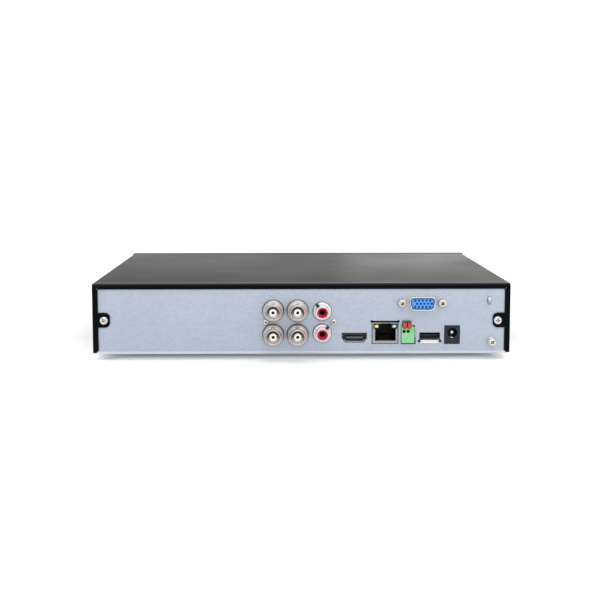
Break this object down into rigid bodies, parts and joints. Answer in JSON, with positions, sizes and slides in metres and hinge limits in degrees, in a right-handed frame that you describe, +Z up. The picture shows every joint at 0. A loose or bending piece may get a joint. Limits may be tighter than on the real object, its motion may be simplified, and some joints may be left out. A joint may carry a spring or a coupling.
{
  "type": "dvr recorder",
  "caption": "Compact surveillance recorder in a folded steel case, with coaxial, phono, video, network, USB and power sockets on a zinc rear panel and a disk drive inside.",
  "frame": {"origin": "on the surface the feet stand on, under the middle of the recorder with its rear sockets counted in its depth", "axes": "+X to the right when the rear sockets are faced, +Y to the front bezel, +Z up"},
  "size_m": [0.261, 0.236, 0.0488],
  "materials": {
    "arm_aluminium": "machined",
    "black_plastic": "matt moulded",
    "blue_plastic": "moulded",
    "board_green": "solder resist",
    "cable_black": "cable jacket",
    "cable_red": "cable jacket",
    "capacitor_sleeve": "shrink sleeve",
    "cast_aluminium": "cast",
    "cell_steel": "bright",
    "chip_black": "moulded",
    "clear_plastic": "clear moulded",
    "cover_paint": "fine matt powder coat",
    "foot_rubber": "matt",
    "gold": "gold flash",
    "green_lens": "translucent",
    "green_plastic": "moulded",
    "heatsink_black": "black anodised",
    "lid_aluminium": "satin",
    "nickel": "bright nickel",
    "orange_plastic": "moulded",
    "platter_mirror": "polished",
    "red_plastic": "moulded",
    "screw_steel": "bright zinc",
    "socket_steel": "bright tin plate",
    "socket_white": "moulded",
    "white_dielectric": "moulded",
    "wire_yellow": "wire jacket",
    "yellow_lens": "translucent",
    "zinc_plate": "satin galvanised"
  },
  "bodies": {
    "case": {"av_block_housing": "black_plastic", "av_block_screws": "screw_steel", "av_contacts": "gold", "base_tray": "zinc_plate", "bnc_insulators": "white_dielectric", "bnc_shell_1": "nickel", "bnc_shell_2": "nickel", "bnc_shell_3": "nickel", "bnc_shell_4": "nickel", "board_capacitors": "capacitor_sleeve", "board_chips": "chip_black", "board_screws": "screw_steel", "board_sockets": "socket_white", "coin_cell": "cell_steel", "cover_screws": "screw_steel", "dc_jack_body": "black_plastic", "dc_jack_contacts": "nickel", "disk_base": "cast_aluminium", "disk_board": "board_green", "disk_lid": "lid_aluminium", "disk_power_cable": "wire_yellow", "disk_screws": "screw_steel", "foot_front_left": "foot_rubber", "foot_front_right": "foot_rubber", "foot_rear_left": "foot_rubber", "foot_rear_right": "foot_rubber", "front_bezel": "black_plastic", "front_board": "board_green", "front_cable": "cable_black", "front_usb_port": "socket_steel", "ground_screw": "screw_steel", "ground_washers": "screw_steel", "hdmi_shell": "socket_steel", "hdmi_tongue": "black_plastic", "heatsink": "heatsink_black", "light_pipe": "clear_plastic", "main_board": "board_green", "rca_insert_1": "red_plastic", "rca_insert_2": "red_plastic", "rca_sleeve_1": "nickel", "rca_sleeve_2": "nickel", "rj45_contacts": "gold", "rj45_housing": "black_plastic", "rj45_led_green": "green_lens", "rj45_led_yellow": "yellow_lens", "rj45_shield": "socket_steel", "sata_cable": "cable_red", "terminal_body": "green_plastic", "terminal_clamps": "socket_steel", "top_cover": "cover_paint", "usb_rear_shell": "socket_steel", "usb_rear_tongue": "black_plastic", "vga_contacts": "gold", "vga_insulator": "blue_plastic", "vga_jackscrews": "nickel", "vga_shell": "nickel"},
    "lever_1": {"terminal_lever_1": "orange_plastic"},
    "lever_2": {"terminal_lever_2": "orange_plastic"},
    "platter": {"disk_platter": "platter_mirror"},
    "arm": {"disk_arm": "arm_aluminium"}
  },
  "joints": [
    {"name": "lever_1_push", "type": "slide", "parent": "case", "child": "lever_1", "axis": [0, 1, 0], "range_m": [0, 0.0015], "stiffness_N_per_m": 1500, "springref_m": -0.0004},
    {"name": "lever_2_push", "type": "slide", "parent": "case", "child": "lever_2", "axis": [0, 1, 0], "range_m": [0, 0.0015], "stiffness_N_per_m": 1500, "springref_m": -0.0004},
    {"name": "platter_spin", "type": "hinge", "parent": "case", "child": "platter", "pos_m": [-0.071, -0.0175, 0.0226], "axis": [0, 0, 1], "continuous": true},
    {"name": "arm_swing", "type": "hinge", "parent": "case", "child": "arm", "pos_m": [-0.099, 0.0385, 0.0226], "axis": [0, 0, -1], "range_deg": [0, 32]}
  ]
}
